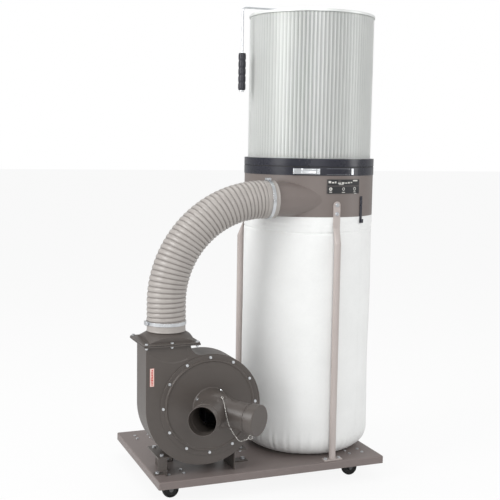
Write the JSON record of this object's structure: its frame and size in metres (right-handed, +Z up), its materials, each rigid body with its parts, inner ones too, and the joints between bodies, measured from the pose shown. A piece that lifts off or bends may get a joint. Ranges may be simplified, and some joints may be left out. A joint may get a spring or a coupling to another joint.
{
  "type": "dust collector",
  "caption": "Wheeled workshop dust collector: fan blower with branched inlet, corrugated duct, separator drum on legs, dust bag below and crank-cleaned cartridge filter above.",
  "frame": {"origin": "middle of the underside of the whole machine's box, on the floor", "axes": "+Z up, +X along the front edge of the base plate from the blower to the filter tower, +Y from the inlet towards the motor"},
  "size_m": [0.983, 0.8252, 1.778],
  "materials": {
    "taupe_paint": "gloss taupe enamel",
    "leg_paint": "grey taupe enamel",
    "black_paint": "gloss black enamel",
    "zinc": "bright zinc plate",
    "chain_steel": "plated chain",
    "shaft_steel": "turned steel",
    "core_steel": "laminated steel",
    "cast_alloy": "cast alloy, painted grey",
    "wheel_plastic": "black moulded nylon",
    "black_plastic": "black moulded plastic",
    "grip_plastic": "soft black grip",
    "green_plastic": "green button",
    "red_plastic": "red button",
    "label_film": "printed film",
    "hose_plastic": "grey corrugated duct",
    "bag_felt": "white needle felt",
    "filter_paper": "pleated filter media",
    "mesh_metal": "light grey expanded metal",
    "foam_rubber": "seal rubber"
  },
  "bodies": {
    "root": {"caster_plates": "zinc", "caster_bolts": "zinc", "blower_casing": "taupe_paint", "blower_cover": "taupe_paint", "cover_screws": "zinc", "warning_label": "label_film", "motor_stator": "core_steel", "motor_body": "cast_alloy", "motor_front_shield": "cast_alloy", "motor_rear_shield": "cast_alloy", "motor_bearings": "shaft_steel", "fan_cover": "black_plastic", "capacitor_box": "black_plastic", "switch_box": "black_plastic", "cable_gland": "black_plastic", "blower_stand": "taupe_paint", "frame_bolts": "zinc", "inlet_branches": "taupe_paint", "outlet_gasket": "foam_rubber", "outlet_hood": "taupe_paint", "outlet_bolts": "zinc", "duct_hose": "hose_plastic", "hose_clamp_lower": "zinc", "hose_clamp_upper": "zinc", "support_leg_front": "leg_paint", "support_leg_left": "leg_paint", "support_leg_right": "leg_paint", "leg_bolts": "zinc", "rating_plate": "black_plastic", "bag_hooks": "black_paint", "separator_drum": "taupe_paint", "dust_bag": "bag_felt", "bag_band": "zinc", "belt_clamp": "black_paint", "filter_seal": "foam_rubber", "filter_rim": "black_paint", "filter_mesh": "mesh_metal", "filter_media": "filter_paper", "filter_cap": "mesh_metal", "base_plate": "taupe_paint", "cap_chain": "chain_steel"},
    "impeller_rotor": {"motor_shaft": "shaft_steel", "impeller": "cast_alloy", "impeller_bolt": "zinc", "motor_fan": "black_plastic"},
    "crank": {"crank": "zinc", "beater_shaft": "shaft_steel"},
    "crank_grip": {"crank_grip": "grip_plastic"},
    "inlet_cap": {"inlet_cap": "taupe_paint"},
    "start_button": {"start_button": "green_plastic"},
    "stop_button": {"stop_button": "red_plastic"},
    "belt_lever": {"belt_lever": "zinc"},
    "caster_1": {"caster_fork_1": "zinc"},
    "wheel_1": {"caster_wheel_1": "wheel_plastic"},
    "caster_2": {"caster_fork_2": "zinc"},
    "wheel_2": {"caster_wheel_2": "wheel_plastic"},
    "caster_3": {"caster_fork_3": "zinc"},
    "wheel_3": {"caster_wheel_3": "wheel_plastic"},
    "caster_4": {"caster_fork_4": "zinc"},
    "wheel_4": {"caster_wheel_4": "wheel_plastic"}
  },
  "joints": [
    {"name": "caster_swivel_1", "type": "hinge", "parent": "root", "child": "caster_1", "pos_m": [-0.357, -0.11238, 0.076], "axis": [0, 0, 1], "continuous": true},
    {"name": "wheel_spin_1", "type": "hinge", "parent": "caster_1", "child": "wheel_1", "pos_m": [-0.374, -0.11238, 0.03], "axis": [0, 1, 0], "continuous": true},
    {"name": "caster_swivel_2", "type": "hinge", "parent": "root", "child": "caster_2", "pos_m": [0.363, -0.11238, 0.076], "axis": [0, 0, 1], "continuous": true},
    {"name": "wheel_spin_2", "type": "hinge", "parent": "caster_2", "child": "wheel_2", "pos_m": [0.346, -0.11238, 0.03], "axis": [0, 1, 0], "continuous": true},
    {"name": "caster_swivel_3", "type": "hinge", "parent": "root", "child": "caster_3", "pos_m": [-0.357, 0.32562, 0.076], "axis": [0, 0, 1], "continuous": true},
    {"name": "wheel_spin_3", "type": "hinge", "parent": "caster_3", "child": "wheel_3", "pos_m": [-0.374, 0.32562, 0.03], "axis": [0, 1, 0], "continuous": true},
    {"name": "caster_swivel_4", "type": "hinge", "parent": "root", "child": "caster_4", "pos_m": [0.363, 0.32562, 0.076], "axis": [0, 0, 1], "continuous": true},
    {"name": "wheel_spin_4", "type": "hinge", "parent": "caster_4", "child": "wheel_4", "pos_m": [0.346, 0.32562, 0.03], "axis": [0, 1, 0], "continuous": true},
    {"name": "impeller_spin", "type": "hinge", "parent": "root", "child": "impeller_rotor", "pos_m": [-0.247, -0.04838, 0.343], "axis": [0, 1, 0], "continuous": true},
    {"name": "crank_turn", "type": "hinge", "parent": "root", "child": "crank", "pos_m": [0.241, 0.09162, 1.77], "axis": [0, 0, 1], "continuous": true},
    {"name": "grip_spin", "type": "hinge", "parent": "crank", "child": "crank_grip", "pos_m": [-0.043, 0.09162, 1.466], "axis": [0, 0, 1], "continuous": true},
    {"name": "inlet_cap_pull", "type": "slide", "parent": "root", "child": "inlet_cap", "axis": [0.5861, -0.809, -0.0451], "range_m": [0, 0.06]},
    {"name": "start_press", "type": "slide", "parent": "root", "child": "start_button", "axis": [0, 0, -1], "range_m": [0, 0.004], "stiffness_N_per_m": 800, "springref_m": -0.001},
    {"name": "stop_press", "type": "slide", "parent": "root", "child": "stop_button", "axis": [0, 0, -1], "range_m": [0, 0.004], "stiffness_N_per_m": 800, "springref_m": -0.001},
    {"name": "belt_lever_open", "type": "hinge", "parent": "root", "child": "belt_lever", "pos_m": [0.08633, -0.11363, 1.155], "axis": [0, 0, -1], "range_deg": [0, 120]}
  ]
}
